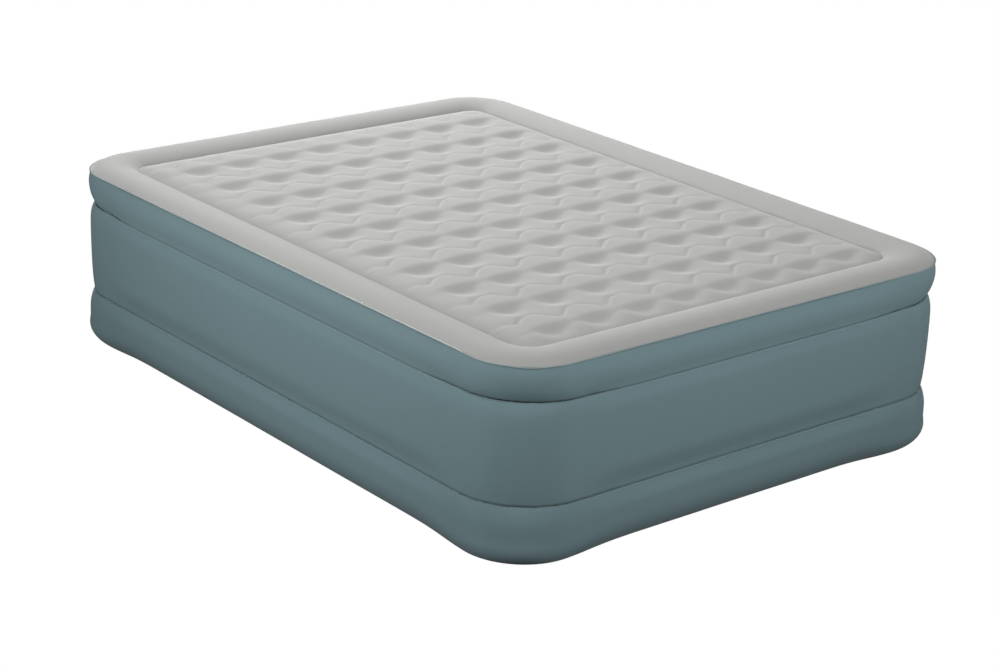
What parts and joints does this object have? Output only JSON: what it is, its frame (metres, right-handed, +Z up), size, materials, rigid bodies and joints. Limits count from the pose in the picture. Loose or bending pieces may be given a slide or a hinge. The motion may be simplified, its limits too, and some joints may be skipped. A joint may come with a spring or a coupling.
{
  "type": "raised air mattress",
  "caption": "Raised double-height air bed with a wave-quilted flocked top, a rounded rim, banded side walls and a built-in pump in the head end.",
  "frame": {"origin": "on the floor under the middle of the bed's footprint", "axes": "+Z up; +Y along the bed to the head end, where the pump is; +X across the bed"},
  "size_m": [1.52, 2.03, 0.527],
  "materials": {
    "base_vinyl": "matte",
    "side_flock": "matte",
    "top_flock": "matte",
    "seam_vinyl": "satin",
    "inner_vinyl": "satin",
    "collar_vinyl": "satin",
    "seal_rubber": "matte",
    "pump_plastic": "satin",
    "knob_plastic": "satin",
    "pointer_plastic": "gloss",
    "grille_plastic": "matte",
    "inner_plastic": "satin",
    "switch_plastic": "gloss",
    "steel": "satin",
    "magnet": "matte",
    "bush_brass": "satin"
  },
  "bodies": {
    "mattress": {"bottom_sheet": "base_vinyl", "bottom_weld": "base_vinyl", "lower_band": "side_flock", "lower_crease_weld": "side_flock", "middle_band": "side_flock", "upper_crease_weld": "side_flock", "upper_band": "side_flock", "colour_seam_weld": "seam_vinyl", "top_rim": "top_flock", "panel_weld": "top_flock", "top_panel": "top_flock", "lower_deck": "inner_vinyl", "mid_deck": "inner_vinyl", "wave_beams": "inner_vinyl", "rim_beam": "inner_vinyl", "base_beams": "inner_vinyl", "middle_beams": "inner_vinyl", "pump_collar": "collar_vinyl", "pump_gasket": "seal_rubber", "pump_face_plate": "pump_plastic", "plate_screws": "steel", "intake_grille": "grille_plastic", "pump_housing": "inner_plastic", "cord_bay_tub": "inner_plastic", "cord_gland": "seal_rubber", "door_hinge_pin": "steel", "blower_bulkhead": "inner_plastic", "blower_volute": "inner_plastic", "motor_bracket": "steel", "motor_can": "steel", "motor_end_cap": "inner_plastic", "motor_magnets": "magnet", "front_bearing": "bush_brass", "rear_bearing": "bush_brass", "switch_body": "switch_plastic", "valve_seat": "inner_plastic", "flap_pin": "steel"},
    "selector": {"selector_knob": "knob_plastic", "knob_pointer": "pointer_plastic", "selector_spindle": "inner_plastic", "selector_shutter": "inner_plastic"},
    "rotor": {"impeller": "inner_plastic", "rotor_shaft": "steel", "motor_armature": "steel"},
    "door": {"cord_bay_door": "pump_plastic"},
    "rocker": {"switch_rocker": "switch_plastic"},
    "flap": {"valve_flap": "inner_plastic", "flap_face": "seal_rubber"}
  },
  "joints": [
    {"name": "selector_turn", "type": "hinge", "parent": "mattress", "child": "selector", "pos_m": [0.374, 1.005, 0.3045], "axis": [0, 1, 0], "range_deg": [-90, 90]},
    {"name": "rotor_spin", "type": "hinge", "parent": "mattress", "child": "rotor", "pos_m": [0.374, 0.955, 0.3045], "axis": [0, 1, 0], "continuous": true},
    {"name": "door_swing", "type": "hinge", "parent": "mattress", "child": "door", "pos_m": [0.5244, 0.9993, 0.2905], "axis": [0, 0, 1], "range_deg": [-110, 0]},
    {"name": "switch_rock", "type": "hinge", "parent": "mattress", "child": "rocker", "pos_m": [0.374, 0.995, 0.2385], "axis": [0, 0, 1], "range_deg": [-20, 0]},
    {"name": "flap_swing", "type": "hinge", "parent": "mattress", "child": "flap", "pos_m": [0.374, 0.883, 0.2695], "axis": [1, 0, 0], "range_deg": [-50, 0]}
  ]
}
